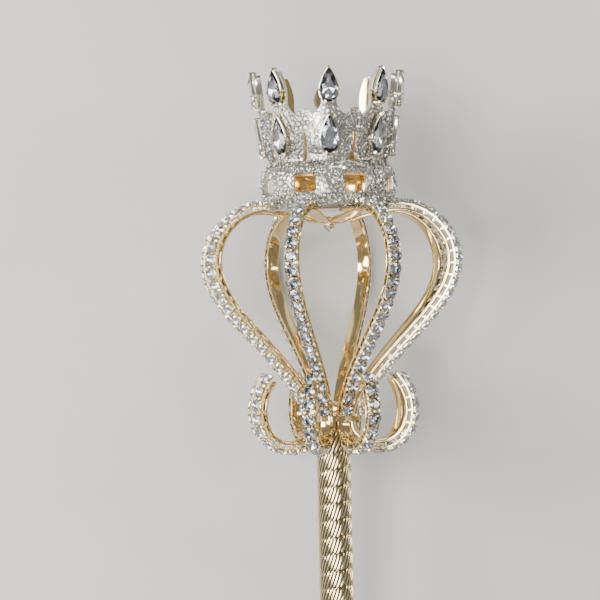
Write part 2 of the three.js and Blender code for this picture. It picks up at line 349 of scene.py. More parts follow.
level = add(tree, "ShaderNodeCombineXYZ", {2: spot[2]}).outputs[0]
place = add(tree, "ShaderNodeVectorMath", {0: spoke, 1: level}, operation="ADD").outputs[0]
moved = add(tree, "GeometryNodeSetPosition", {"Geometry": given["Geometry"], "Position": place})
finish_tree(tree, moved.outputs[0], given["Material"])


def circle_points(radius, count):
    """An even ring of points."""
    return [(radius * math.cos(math.tau * k / count), radius * math.sin(math.tau * k / count))
            for k in range(count)]


def tube_blank(radius, ends, sides, rings):
    """A closed tube blank with its rings evenly spaced."""
    blank = bmesh.new()
    loops = []
    for j in range(rings + 1):
        height = ends[0] + (ends[1] - ends[0]) * j / rings
        loops.append([blank.verts.new((x, y, height)) for x, y in circle_points(radius, sides)])
    for low, high in zip(loops, loops[1:]):
        for i in range(sides):
            k = (i + 1) % sides
            blank.faces.new((low[i], low[k], high[k], high[i]))
    blank.faces.new(loops[0][::-1])
    blank.faces.new(loops[-1])
    return as_mesh(blank, "blank")


handle = grow(
    tree, tube_blank(TUBE_RADIUS, TUBE_ENDS, TUBE_SIDES, TUBE_RINGS), Radius=TUBE_RADIUS,
    Ribs=RIBS_AROUND, Pitch=GROOVE_PITCH, Slant=RIB_SLANT, Depth=RIB_DEPTH, Bulge=BAND_BULGE,
    Material=rolled_gold)
lay_piece(handle, "handle_tube_ribbed", ["handle_tube"], RIB_CREASE)

# ---- Pommel, neck and hub ----
# Turned brass, plated and polished: a ball with a beaded collar closes the tube's lower end, a
# ferrule with a rounded cap closes the upper end, and a small nut with a drop holds the arms under
# the crown. The ball has one small flat, on which it lies.
polished_gold = gold_plate("polished_gold_plate", "#EFD9A6", "#E4C382", 9, (0.05, 0.16), 2.5, 0.006)[0]


def arc(centre, radius, start, stop, steps):
    """Points of a round profile, as (radius, height), from one angle to another in degrees."""
    return [
        (centre[0] + radius * math.cos(math.radians(a)), centre[1] + radius * math.sin(math.radians(a)))
        for a in (start + (stop - start) * i / steps for i in range(steps + 1))]


def turned_mesh(profile, sides):
    """A solid turned about the axis from (radius, height) points, which start and end on the axis."""
    solid = bmesh.new()
    points = [solid.verts.new((r, 0, h)) for r, h in profile]
    edges = [solid.edges.new(pair) for pair in zip(points, points[1:])]
    bmesh.ops.spin(
        solid, geom=points + edges, cent=(0, 0, 0), axis=(0, 0, 1), angle=math.tau, steps=sides,
        use_merge=True)
    bmesh.ops.remove_doubles(solid, verts=solid.verts, dist=1e-4)
    bmesh.ops.recalc_face_normals(solid, faces=solid.faces)
    return as_mesh(solid, "turned")


BALL_RADIUS = 11.0
BALL_CENTRE = 10.2
POMMEL_SIDES, NECK_SIDES, HUB_SIDES = 96, 64, 48
end_angle = -math.degrees(math.asin(BALL_CENTRE / BALL_RADIUS))
pommel = turned_mesh([
    (0, 0), *arc((0, BALL_CENTRE), BALL_RADIUS, end_angle, 55, 30), (5.9, 19.4), (5.9, 19.9),
    *arc((6.5, 20.6), 0.7, -90, 60, 6), *arc((6.7, 22.2), 0.9, -45, 90, 8), (5.4, 23.4), (5.4, 23.7),
    (0, 23.7)], POMMEL_SIDES)
pommel.materials.append(polished_gold)
lay_piece(pommel, "pommel_ball", ["pommel"])
for vertex in pommel.vertices:
    vertex.co.z = max(vertex.co.z, cad_box[0].z)

neck = turned_mesh([
    (0, 293.6), (6.0, 293.6), *arc((5.9, 294.05), 0.45, -90, 90, 5), (5.7, 294.7), (5.7, 298.9),
    *arc((5.8, 299.6), 0.55, -90, 90, 6), (5.2, 300.6), *arc((0, 299.3), 5.1, 20, 90, 12)],
    NECK_SIDES)
neck.materials.append(polished_gold)
lay_piece(neck, "neck_ferrule", ["neck"])

hub = turned_mesh([
    (0, 365.4), (1.9, 365.4), *arc((2.0, 365.7), 0.3, -90, 0, 3), (2.3, 366),
    (4.9, 366), *arc((4.9, 366.6), 0.5, -60, 60, 5), *arc((0, 363.6), 5.2, 40, 90, 8)],
    HUB_SIDES)
hub.materials.append(polished_gold)
lay_piece(hub, "hub_nut", ["hub"])

# ---- Arms ----
# Eight flat brass bars, each bent over a former into half a heart and plated: from the hub out over
# the lobe, round the widest part and down to the neck, where it is soldered.
COUNT = 8
ARM_TURN = 22.5
FINE_STEPS = 200
ARM_PATH_STEP = 1.0
EDGE_STEPS = 3
STRIP_WIDTH, STRIP_THICKNESS, STRIP_EDGE = 4.5, 1.0, 0.3
ARM_ARCS = [
    ((5.8, 367.0), (11.5, 367.9), (18.5, 370.45), (25.5, 370.45)),
    ((25.5, 370.45), (34.7, 370.45), (43.6, 362.5), (43.6, 352.8)),
    ((43.6, 352.8), (43.6, 343.5), (35.0, 335.2), (26.0, 326.0)),
    ((26.0, 326.0), (17.0, 316.8), (9.4, 308.6), (7.2, 300.0)),
]


def bent_path(arcs, spacing):
    """Evenly spaced points along cubic arcs joined end to end."""
    fine = []
    for a, b, c, d in ([Vector(p) for p in points] for points in arcs):
        for i in range(FINE_STEPS):
            t = i / FINE_STEPS
            s = 1 - t
            fine.append(a * s ** 3 + b * 3 * t * s ** 2 + c * 3 * t * t * s + d * t ** 3)
    fine.append(Vector(arcs[-1][-1]))
    length = sum((q - p).length for p, q in zip(fine, fine[1:]))
    count = max(round(length / spacing), 1)
    path, gone = [fine[0]], 0.0
    for p, q in zip(fine, fine[1:]):
        gone += (q - p).length
        if gone >= length * len(path) / count - 1e-6 and len(path) < count:
            path.append(q)
    return path + [fine[-1]]


def offset_path(path, offset):
    """The path moved to its left by an offset."""
    moved = []
    for i, point in enumerate(path):
        heading = (path[min(i + 1, len(path) - 1)] - path[max(i - 1, 0)]).normalized()
        moved.append(point + Vector((-heading.y, heading.x)) * offset)
    return moved


def wire(path):
    """A path as a mesh of edges, drawn flat with the radius along X and the height along Y."""
    mesh = bpy.data.meshes.new("path")
    mesh.from_pydata([(*p, 0) for p in path], [(i, i + 1) for i in range(len(path) - 1)], [])
    return mesh


# The bar is a rounded rectangle swept along the drawing, stood up, and repeated round the axis.
bars, given = new_tree(
    "bent_bars", **{"Width": float, "Thickness": float, "Edge": float, "Count": int,
                    "First turn": float, "Material": bpy.types.Material})
line = add(bars, "GeometryNodeMeshToCurve", {"Mesh": given["Geometry"]}).outputs[0]
line = add(bars, "GeometryNodeSetCurveNormal", {"Curve": line}, mode="Z_UP").outputs[0]
section = add(
    bars, "GeometryNodeCurvePrimitiveQuadrilateral",
    {"Width": given["Thickness"], "Height": given["Width"]}).outputs[0]
section = add(
    bars, "GeometryNodeFilletCurve", {"Curve": section, "Count": EDGE_STEPS, "Radius": given["Edge"]},
    mode="POLY").outputs[0]
bar = add(
    bars, "GeometryNodeCurveToMesh",
    {"Curve": line, "Profile Curve": section, "Fill Caps": True}).outputs[0]


def repeat_round(tree, one, given):
    """Stands a drawing up and repeats it round the axis."""
    stood = Euler((math.pi / 2, 0, 0))
    upright = add(tree, "GeometryNodeTransform", {"Geometry": one, "Rotation": stood})
    points = add(tree, "GeometryNodePoints", {"Count": given["Count"]}).outputs[0]
    order = add(tree, "GeometryNodeInputIndex").outputs[0]
    step = compute(tree, "DIVIDE", math.tau, given["Count"])
    first = compute(tree, "RADIANS", given["First turn"])
    heading = compute(tree, "MULTIPLY_ADD", order, step, first)
    turn = add(tree, "ShaderNodeCombineXYZ", {2: heading}).outputs[0]
    turned = add(tree, "FunctionNodeEulerToRotation", {0: turn}).outputs[0]
    return add(
        tree, "GeometryNodeInstanceOnPoints",
        {"Points": points, "Instance": upright.outputs[0], "Rotation": turned}).outputs[0]


finish_tree(bars, repeat_round(bars, bar, given), given["Material"])


def make_bars(path, name, nodes):
    """Eight bars along a path, one at each arm's turn."""
    mesh = grow(
        bars, wire(path), Width=STRIP_WIDTH, Thickness=STRIP_THICKNESS, Edge=STRIP_EDGE, Count=COUNT,
        **{"First turn": ARM_TURN - 90}, Material=polished_gold)
    lay_piece(mesh, name, nodes)


arm_path = bent_path(ARM_ARCS, ARM_PATH_STEP)
make_bars(arm_path, "arm_bars", [f"arm_strip_{i + 1}" for i in range(COUNT)])


# ---- Hub drop stone ----
# A small drop, cut with eight facets round from the same clear glass as all the stones and cemented
# into the lower face of the hub nut, so that it hangs inside the cage.
DROP_FACETS = 8

# Clear lead glass: no colour of its own, a polish like a mirror and strong refraction.
crystal, tree, shader = new_material("clear_cut_lead_glass")
for name, value in {"Base Color": (1, 1, 1, 1), "Transmission Weight": 1.0, "Roughness": 0.0,
                    "IOR": 1.62}.items():
    shader.inputs[name].default_value = value

drop = turned_mesh(
    [(0, 363.3), (1.3, 364.2), (1.95, 365.1), (1.7, 365.35), (0, 365.35)], DROP_FACETS)
drop.materials.append(crystal)
lay_piece(drop, "hub_drop_stone", ["hub"], crease=0)

# ---- Arm stones ----
# Round rhinestones, brilliant cut from clear glass, with a silver foil fired on behind. They sit in a
# row on the outside of each arm, from just past the crown almost to the neck.
STONE_RADIUS = 2.2
STONE_POINTS = 16
STONE_PITCH = 4.6
STONE_TILT, STONE_SPIN = math.radians(5), math.pi
GIRDLE_RISE = 3.2
CROWN_RISE = 0.8
CULET_DEPTH = 1.3
GIRDLE_THICKNESS = 0.12
TABLE_SHARE = 0.54
STAR_SHARE = 0.76
ARM_ROW = (0.165, 0.985)
ROW_SEED = 4
CRINKLES_PER_METRE = 900.0

# Silver foil fired on the back of the stone: a bright mirror with fine crinkles from the brush.
foil, tree, shader = new_material("silver_foil_backing")
crinkle = noise(tree, CRINKLES_PER_METRE, 2.0)
tree.links.new(blend(tree, crinkle, "#F7F8FA", "#DADDE3"), shader.inputs["Base Color"])
shader.inputs["Metallic"].default_value = 1.0
polish = add(tree, "ShaderNodeMapRange", {"Value": crinkle, "To Min": 0.02, "To Max": 0.1})
tree.links.new(polish.outputs[0], shader.inputs["Roughness"])


def cut_stone(outline, heart, table_share, star_share, girdle_height, crown, pavilion, thickness):
    """A closed brilliant that faces +Y. Its outline is an even ring of (x, z) girdle points about
    its heart; faces below the girdle are marked as foiled."""
    stone = bmesh.new()
    foiled = stone.faces.layers.int.new("foiled")
    count = len(outline)
    middle = Vector(heart)
    spokes = [Vector(p) - middle for p in outline]

    def ring(share, height, picks):
        return [
            stone.verts.new((middle.x + spokes[k].x * share, height, middle.y + spokes[k].y * share))
            for k in picks]

    star_rise = (1 - star_share * math.cos(math.tau / count)) / (1 - table_share)
    star_height = girdle_height + crown * star_rise
    even, odd = range(0, count, 2), range(1, count, 2)
    table = ring(table_share, girdle_height + crown, even)
    stars = ring(star_share, star_height, odd)
    upper = ring(1, girdle_height, range(count))
    lower = ring(1, girdle_height - thickness, range(count))
    culet = stone.verts.new((middle.x, girdle_height - pavilion, middle.y))
    half = count // 2
    stone.faces.new(table)
    for k in range(half):
        after = (k + 1) % half
        stone.faces.new((table[k], table[after], stars[k]))
        stone.faces.new((table[k], stars[k - 1], upper[2 * k], stars[k]))
        stone.faces.new((stars[k], upper[2 * k], upper[2 * k + 1]))
        stone.faces.new((stars[k], upper[2 * k + 1], upper[(2 * k + 2) % count]))
    for k in range(count):
        after = (k + 1) % count
        stone.faces.new((upper[k], upper[after], lower[after], lower[k]))
        stone.faces.new((lower[k], lower[after], culet))[foiled] = 1
    bmesh.ops.recalc_face_normals(stone, faces=stone.faces)
    return as_mesh(stone, "stone")


def loosened(tree, facing, given):
    """A rotation with a random tilt and spin within limits, as stones are set by hand."""
    limits = add(
        tree, "ShaderNodeCombineXYZ", {0: given["Tilt"], 1: given["Spin"], 2: given["Tilt"]}).outputs[0]
    opposite = add(
        tree, "ShaderNodeVectorMath", {0: limits, "Scale": -1.0}, operation="SCALE").outputs[0]
    loose = add(
        tree, "FunctionNodeRandomValue", {0: opposite, 1: limits, "Seed": given["Seed"]},
        data_type="FLOAT_VECTOR").outputs[0]
    extra = add(tree, "FunctionNodeEulerToRotation", {0: loose}).outputs[0]
    return add(
        tree, "FunctionNodeRotateRotation", {0: facing, 1: extra}, rotation_space="LOCAL").outputs[0]


def finish_stones(tree, placed, given):
    """Ends a tree: instances become mesh, with foil on the faces that are marked for it."""
    real = add(tree, "GeometryNodeRealizeInstances", {0: placed}).outputs[0]
    clear = add(
        tree, "GeometryNodeSetMaterial", {"Geometry": real, "Material": given["Material"]}).outputs[0]
    behind = add(
        tree, "GeometryNodeInputNamedAttribute", {"Name": "foiled"}, data_type="INT").outputs[0]
    backed = add(
        tree, "GeometryNodeSetMaterial",
        {"Geometry": clear, "Selection": behind, "Material": given["Backing"]}).outputs[0]
    add(tree, "NodeGroupOutput", {0: backed})


# One stone or setting is repeated along the trimmed drawing, facing its left, then round the axis.
rows, given = new_tree(
    "set_rows", **{"Part": bpy.types.Object, "Start": float, "Stop": float, "Spacing": float,
                   "Tilt": float, "Spin": float, "Seed": int, "Count": int, "First turn": float,
                   "Material": bpy.types.Material, "Backing": bpy.types.Material})
line = add(rows, "GeometryNodeMeshToCurve", {"Mesh": given["Geometry"]}).outputs[0]
line = add(
    rows, "GeometryNodeTrimCurve", {"Curve": line, "Start": given["Start"], "End": given["Stop"]},
    mode="FACTOR").outputs[0]
length = add(rows, "GeometryNodeCurveLength", {0: line}).outputs[0]
number = compute(rows, "ADD", compute(rows, "DIVIDE", length, given["Spacing"]), 1.0)
seats = add(rows, "GeometryNodeCurveToPoints", {"Curve": line, "Count": number}, mode="COUNT").outputs
heading = add(rows, "ShaderNodeSeparateXYZ", {0: seats["Tangent"]}).outputs
angle = compute(rows, "ARCTAN2", heading[1], heading[0])
flat_turn = add(rows, "ShaderNodeCombineXYZ", {2: angle}).outputs[0]
facing = loosened(rows, add(rows, "FunctionNodeEulerToRotation", {0: flat_turn}).outputs[0], given)
part = add(rows, "GeometryNodeObjectInfo", {"Object": given["Part"]}).outputs["Geometry"]
row = add(
    rows, "GeometryNodeInstanceOnPoints",
    {"Points": seats["Points"], "Instance": part, "Rotation": facing}).outputs[0]
finish_stones(rows, repeat_round(rows, row, given), given)


def make_rows(path, part, span, tilt, spin, material, backing):
    """Eight rows of one part, spaced evenly along the line of the girdles, one at each arm's turn."""
    return grow(
        rows, wire(offset_path(path, GIRDLE_RISE)), Part=part, Start=span[0], Stop=span[1],
        Spacing=STONE_PITCH, Tilt=tilt, Spin=spin, Seed=ROW_SEED, Count=COUNT,
        **{"First turn": ARM_TURN - 90}, Material=material, Backing=backing)


round_stone = placed_object("template", cut_stone(
    circle_points(STONE_RADIUS, STONE_POINTS), (0, 0), TABLE_SHARE, STAR_SHARE, 0, CROWN_RISE,
    CULET_DEPTH, GIRDLE_THICKNESS))
arm_stones = make_rows(arm_path, round_stone, ARM_ROW, STONE_TILT, STONE_SPIN, crystal, foil)
arm_rows = [f"arm_stone_row_{i + 1}" for i in range(COUNT)]
lay_piece(arm_stones, "arm_stones", arm_rows, crease=0)

# ---- Arm settings ----
# Cast cups, soldered to the arm on an open gallery: each has a tapered ring under its stone and four
# claws bent over the stone's edge, and posts and rails leave a small window under each stone.
CUP_PROFILE = [(1.45, 1.95), (2.12, 3.0), (2.26, 3.1), (2.2, 2.75), (1.7, 1.9)]
CUP_SIDES = 10
CLAW_REACH = 2.24
CLAW_WIDTH = 0.56
CLAW_STEPS = [(2.3, 0.0, 1.0), (3.25, 0.03, 1.0), (3.6, -0.22, 0.9), (3.72, -0.56, 0.6)]
CLAW_DEPTH = 0.4
CLAW_LIFT, CLAW_TAPER = 0.3, 0.7
RAIL_SIDE, RAIL_LEVEL, RAIL_SIZE = 1.98, 2.05, 0.42
RAIL_OVERLAP = 0.05
POST_SIZE = 0.5
STRIP_FACE = 0.45


def block(solid, low, high):
    """Adds a box between two corners."""
    middle = (Vector(low) + Vector(high)) / 2
    size = Vector(high) - Vector(low)
    bmesh.ops.create_cube(
        solid, size=1, matrix=Matrix.Translation(middle) @ Matrix.Diagonal(size).to_4x4())


def ring_solid(solid, profile, outline):
    """Adds a ring whose section is a closed list of (share of the outline, height) points."""
    loops = [[solid.verts.new((x * share, height, z * share)) for x, z in outline]
             for share, height in profile]
    for first, second in zip(loops, loops[1:] + loops[:1]):
        for k in range(len(outline)):
            after = (k + 1) % len(outline)
            solid.faces.new((first[k], first[after], second[after], second[k]))


def claw(solid, angle, reach, steps, width, depth):
    """Adds a claw that rises at an angle round the stone and bends in over its edge."""
    outward = Vector((math.cos(angle), 0, math.sin(angle)))
    beside = Vector((-outward.z, 0, outward.x))
    loops = []
    for height, lean, share in steps:
        centre = outward * (reach + lean) + Vector((0, height, 0))
        half, deep = beside * width * share / 2, outward * depth * share / 2
        lift = Vector((0, depth * CLAW_LIFT, 0)) if lean < 0 else Vector()
        outer, inner = deep + lift, half * CLAW_TAPER
        loops.append([
            solid.verts.new(centre + corner)
            for corner in (half - outer, inner + outer, outer - inner, -half - outer)])
    for low, high in zip(loops, loops[1:]):
        for k in range(4):
            solid.faces.new((low[k], low[(k + 1) % 4], high[(k + 1) % 4], high[k]))
    solid.faces.new(loops[0])
    solid.faces.new(loops[-1])


setting = bmesh.new()
ring_solid(setting, CUP_PROFILE, circle_points(1, CUP_SIDES))
for k in range(4):
    claw(setting, math.radians(45 + 90 * k), CLAW_REACH, CLAW_STEPS, CLAW_WIDTH, CLAW_DEPTH)
rail_end, rail_half, post_half = STONE_PITCH / 2 + RAIL_OVERLAP, RAIL_SIZE / 2, POST_SIZE / 2
for side in (-RAIL_SIDE, RAIL_SIDE):
    block(setting, (-rail_end, RAIL_LEVEL - rail_half, side - rail_half),
          (rail_end, RAIL_LEVEL + rail_half, side + rail_half))
    block(setting, (STONE_PITCH / 2 - post_half, STRIP_FACE, side - post_half),
          (STONE_PITCH / 2 + post_half, RAIL_LEVEL, side + post_half))
bmesh.ops.recalc_face_normals(setting, faces=setting.faces)
bmesh.ops.translate(setting, verts=setting.verts, vec=(0, -GIRDLE_RISE, 0))
round_setting = placed_object("template", as_mesh(setting, "setting"))

# Pale gold plate over cast cups: brighter and cooler than the bars, with the grain of the casting.
cast_gold = gold_plate("cast_pale_gold_plate", "#F6EFDC", "#ECE0BE", 5, (0.08, 0.22), 0.8, 0.02)[0]

arm_settings = make_rows(arm_path, round_setting, ARM_ROW, 0.0, 0.0, cast_gold, cast_gold)
lay_piece(arm_settings, "arm_settings", arm_rows)

# ---- Scrolls ----
# Eight short bars, each bent into a hook that springs from the neck between the arm's foot and the
# ferrule, set with the same stones on the outside of its curve.
SCROLL_ARCS = [
    ((7.2, 297.0), (7.2, 292.2), (11.5, 289.8), (17.0, 289.8)),
    ((17.0, 289.8), (23.0, 289.8), (27.2, 294.6), (27.2, 301.0)),
    ((27.2, 301.0), (27.2, 305.0), (25.6, 308.6), (23.3, 311.3)),
]
SCROLL_ROW = (0.02, 0.76)
SCROLL_PATH_STEP = 0.8
scroll_path = bent_path(SCROLL_ARCS, SCROLL_PATH_STEP)[::-1]
make_bars(scroll_path, "scroll_bars", [f"scroll_strip_{i + 1}" for i in range(COUNT)])
scroll_rows = [f"scroll_stone_row_{i + 1}" for i in range(COUNT)]
scroll_stones = make_rows(scroll_path, round_stone, SCROLL_ROW, STONE_TILT, STONE_SPIN, crystal, foil)
lay_piece(scroll_stones, "scroll_stones", scroll_rows, crease=0)
scroll_settings = make_rows(scroll_path, round_setting, SCROLL_ROW, 0.0, 0.0, cast_gold, cast_gold)
lay_piece(scroll_settings, "scroll_settings", scroll_rows)
bpy.data.objects.remove(round_stone)
bpy.data.objects.remove(round_setting)

# ---- Crown casting ----
# One casting of plated brass with a windowed drum, a waist, and eight peaks joined by rounded lobes.
# The peaks were bent outwards by hand, so they stand at slightly uneven turns. Its inside is polished.
CROWN_TURN = -4
PEAK_TURNS = [0, 46, 90, 139, 180, 216, 270, 314]
CROWN_WALL = 1.5
CROWN_PROFILE = [
    (20.2, 371.35), (21.9, 373.6), (22.9, 378.6), (22.3, 384.4), (20.2, 387.6), (21.6, 393.5),
    (23.0, 404.0), (24.5, 418.6)]
DRAWN_RADIUS = 22.0
DRAWN_ROUND = math.tau * DRAWN_RADIUS
WINDOW_WIDTH, WINDOW_LEVELS = 8.6, (376.4, 383.2)
PLAIN_PANELS = (3, 4)
KEYHOLE = [(1.8, 387.4), (1.75, 388.3), (0.55, 390.6), (0.55, 396.4), (0.4, 397.0)]
LOBE_RADIUS, LOBE_CENTRE, VALLEY_LEVEL = 2.7, 402.7, 403.0
VALLEY_HALF = 0.9
SPIRE = [(3.3, 405.0), (2.5, 407.2), (3.0, 411.0), (2.6, 414.0), (1.1, 418.3)]
DRAWING_STEP = 1.3


def crown_radius(height):
    """Radius of the crown's outer face, by smooth arcs through its profile."""
    rows_up = CROWN_PROFILE
    i = next((k for k in range(1, len(rows_up) - 1) if rows_up[k][1] >= height), len(rows_up) - 1)
    (r0, h0), (r1, h1) = rows_up[i - 1], rows_up[i]
    before, after = rows_up[max(i - 2, 0)], rows_up[min(i + 1, len(rows_up) - 1)]
    slope0 = (r1 - before[0]) / (h1 - before[1]) * (h1 - h0)
    slope1 = (after[0] - r0) / (after[1] - h0) * (h1 - h0)
    t = (height - h0) / (h1 - h0)
    return (
        (2 * t ** 3 - 3 * t ** 2 + 1) * r0 + (t ** 3 - 2 * t ** 2 + t) * slope0
        + (3 * t ** 2 - 2 * t ** 3) * r1 + (t ** 3 - t ** 2) * slope1)


def drawn(turn):
    """Where a turn lies on the crown's flat drawing, in which the crown is cut open and unrolled."""
    return math.radians(turn) * DRAWN_RADIUS


def drawn_width(width, height):
    """A width on the crown as it measures on the flat drawing."""
    return width * DRAWN_RADIUS / crown_radius(height)


def softened(points, rounds=2):
    """A closed outline with its corners cut, as a file rounds them."""
    for _ in range(rounds):
        points = [
            p.lerp(q, share) for p, q in zip(points, points[1:] + points[:1]) for share in (0.25, 0.75)]
    return points


def mirrored(half, middle):
    """A closed outline from its right half, (half width, height), which runs upwards."""
    right_side = [Vector((middle + drawn_width(w, h), h)) for w, h in half]
    left_side = [Vector((middle - drawn_width(w, h), h)) for w, h in reversed(half)]
    return right_side + left_side


peaks = [drawn(turn) for turn in PEAK_TURNS] + [DRAWN_ROUND]
holes = []
tip = CROWN_PROFILE[-1][1]
top_edge = []
for i, (left_peak, right_peak) in enumerate(zip(peaks, peaks[1:])):
    middle = (left_peak + right_peak) / 2
    low, high = WINDOW_LEVELS
    if i not in PLAIN_PANELS:
        quarter = WINDOW_WIDTH / 4
        frame_half = [(quarter, low), (2 * quarter, low), (2 * quarter, (low + high) / 2),
                      (2 * quarter, high), (quarter, high)]
        holes.append(softened(mirrored(frame_half, middle)))
    holes.append(softened(mirrored(KEYHOLE, middle)))
    side = [(drawn_width(w, h), h) for w, h in SPIRE]
    top_edge += [Vector((left_peak, tip))] + [Vector((left_peak + w, h)) for w, h in reversed(side)]
    top_edge += [Vector((middle - LOBE_RADIUS - VALLEY_HALF, VALLEY_LEVEL))]
    top_edge += [Vector((middle + x, LOBE_CENTRE + y)) for x, y in arc((0, 0), LOBE_RADIUS, 170, 10, 8)]
    top_edge += [Vector((middle + LOBE_RADIUS + VALLEY_HALF, VALLEY_LEVEL))]
    top_edge += [Vector((right_peak - w, h)) for w, h in side]
top_edge += [Vector((DRAWN_ROUND, tip))]
smooth_top = [top_edge[0]]
for p, q in zip(top_edge, top_edge[1:]):
    smooth_top += [p.lerp(q, 0.25), p.lerp(q, 0.75)]
smooth_top += [top_edge[-1]]
foot = CROWN_PROFILE[0][1]
outline = [Vector((0, foot)), *smooth_top, Vector((DRAWN_ROUND, foot))]

# The drawing is filled around its holes, cut into a grid, wrapped round the axis and given its wall.
drawing = bpy.data.curves.new("crown_drawing", "CURVE")
drawing.dimensions = "2D"
drawing.fill_mode = "BOTH"
for loop in [outline, *holes]:
    spline = drawing.splines.new("POLY")
    spline.points.add(len(loop) - 1)
    for point, place in zip(spline.points, loop):
        point.co = (place.x, place.y, 0, 1)
    spline.use_cyclic_u = True
cut_out = bmesh.new()
cut_out.from_mesh(baked(placed_object("crown_drawing", drawing)))
bmesh.ops.remove_doubles(cut_out, verts=cut_out.verts, dist=1e-4)
columns = round(DRAWN_ROUND / DRAWING_STEP)
levels = round((tip - foot) / DRAWING_STEP)
cuts = [((DRAWN_ROUND * i / columns, 0, 0), (1, 0, 0)) for i in range(1, columns)]
cuts += [((0, foot + (tip - foot) * i / levels, 0), (0, 1, 0)) for i in range(1, levels)]
for through, square in cuts:
    bmesh.ops.bisect_plane(
        cut_out, geom=cut_out.verts[:] + cut_out.edges[:] + cut_out.faces[:], dist=1e-5,
        plane_co=through, plane_no=square)
for face in cut_out.faces:
    if face.normal.z < 0:
        face.normal_flip()
for vertex in cut_out.verts:
    turn = CROWN_TURN + math.degrees(vertex.co.x / DRAWN_RADIUS)
    vertex.co = at_turn(turn, crown_radius(vertex.co.y), vertex.co.y)
bmesh.ops.remove_doubles(cut_out, verts=cut_out.verts, dist=1e-3)
skin = as_mesh(cut_out, "crown")

# White gold flash over the casting's outer face, so that the stones on it look whiter than on gold.
white_flash = gold_plate("white_gold_flash", "#E9E6DC", "#CFC9B8", 4, (0.12, 0.3), 0.7, 0.02)[0]
skin.materials.append(white_flash)
skin.materials.append(polished_gold)
shell = placed_object("shell", skin)
wall = shell.modifiers.new("wall", "SOLIDIFY")
wall.thickness, wall.offset, wall.material_offset = CROWN_WALL, -1, 1
lay_piece(baked(shell), "crown_casting", ["crown"])

# ---- Pear stones ----
# Sixteen large drops of the same foiled glass: one in the middle of each peak, one at its tip. Each
# stands in a box collet with a closed back, held by a claw over its point and two at each side.
LOWER_PEAR = {"width": 6.4, "height": 13.2, "depth": 2.4, "level": 396.6}
UPPER_PEAR = {"width": 6.6, "height": 11.8, "depth": 2.8, "level": 413.2}
PEAR_POINTS = 20
PEAR_SHOULDER = 1.3
PEAR_LIFT = 0.6
PEAR_HEART_SHARE = -0.1
PEAR_GIRDLE_SHARE, PEAR_CULET_SHARE, PEAR_GIRDLE_THICKNESS = 0.52, 0.8, 0.15
PEAR_TABLE_SHARE, PEAR_STAR_SHARE = 0.56, 0.79
BACK_SHARE, BACK_LEVELS = 0.95, (-0.5, -0.05)
# Sections of the collet's rim and of its claws rise from the stone's girdle, the foot from its back.
COLLET_RIM = [(1.0, -0.75), (1.08, -0.75), (1.1, -0.1), (1.08, 0.15), (1.02, 0.2), (1.0, -0.2)]
COLLET_FOOT = [(0.9, -PEAR_LIFT), (1.04, -PEAR_LIFT), (1.06, 0.05), (0.9, 0.05)]
PEAR_CLAW_STEPS = [(0.0, 0.04, 1.0), (0.55, -0.3, 0.9), (0.8, -0.8, 0.6)]
PEAR_CLAWS = (0, 6, 9, 11, 14)
PEAR_CLAW_REACH, PEAR_CLAW_WIDTH, PEAR_CLAW_DEPTH = 1.09, 0.9, 0.5
SEAT_SLOPE_STEP = 0.5
CROWN_SEED = 7


def seat(x, height, gap):
    """Where a stone sits: a point over the crown's outer face, and a rotation that turns +Y out."""
    turn = CROWN_TURN + math.degrees(x / DRAWN_RADIUS)
    step = SEAT_SLOPE_STEP
    lean = (crown_radius(height + step) - crown_radius(height - step)) / (2 * step)
    up_face = (at_turn(turn, lean, 1)).normalized()
    beside = at_turn(turn - 90, 1, 0)
    out = up_face.cross(beside)
    place = at_turn(turn, crown_radius(height), height) + out * gap
    return place, Matrix((beside, out, up_face)).transposed().to_euler()


def seats_mesh(places, sizes):
    """Points with the turn and the size of what sits on them."""
    mesh = bpy.data.meshes.new("seats")
    mesh.from_pydata([place for place, turned in places], [], [])
    facing = mesh.attributes.new("facing", "FLOAT_VECTOR", "POINT")
    facing.data.foreach_set("vector", [c for place, turned in places for c in turned])
    mesh.attributes.new("size", "FLOAT", "POINT").data.foreach_set("value", sizes)
    return mesh


# One part is set on each seat, turned to face out of the crown and scaled to the seat's size.
pave, given = new_tree(
    "set_stones", Part=bpy.types.Object, Tilt=float, Spin=float, Seed=int,
    Material=bpy.types.Material, Backing=bpy.types.Material)
facing = add(
    pave, "GeometryNodeInputNamedAttribute", {"Name": "facing"}, data_type="FLOAT_VECTOR").outputs[0]
size = add(pave, "GeometryNodeInputNamedAttribute", {"Name": "size"}, data_type="FLOAT").outputs[0]
facing = loosened(pave, add(pave, "FunctionNodeEulerToRotation", {0: facing}).outputs[0], given)
part = add(pave, "GeometryNodeObjectInfo", {"Object": given["Part"]}).outputs["Geometry"]
placed = add(
    pave, "GeometryNodeInstanceOnPoints",
    {"Points": given["Geometry"], "Instance": part, "Rotation": facing, "Scale": size}).outputs[0]
finish_stones(pave, placed, given)


def set_parts(part, places, sizes, material, backing, tilt=0.0, spin=0.0):
    """Copies of one part on its seats."""
    return grow(
        pave, seats_mesh(places, sizes), Part=part, Tilt=tilt, Spin=spin, Seed=CROWN_SEED,
        Material=material, Backing=backing)


def pear_outline(width, height, count):
    """The outline of a drop with its point up, as (x, z)."""
    return [
        (width / 2 * math.sin(a) * abs(math.sin(a / 2)) * PEAR_SHOULDER, height / 2 * math.cos(a))
        for a in (math.tau * k / count for k in range(count))]


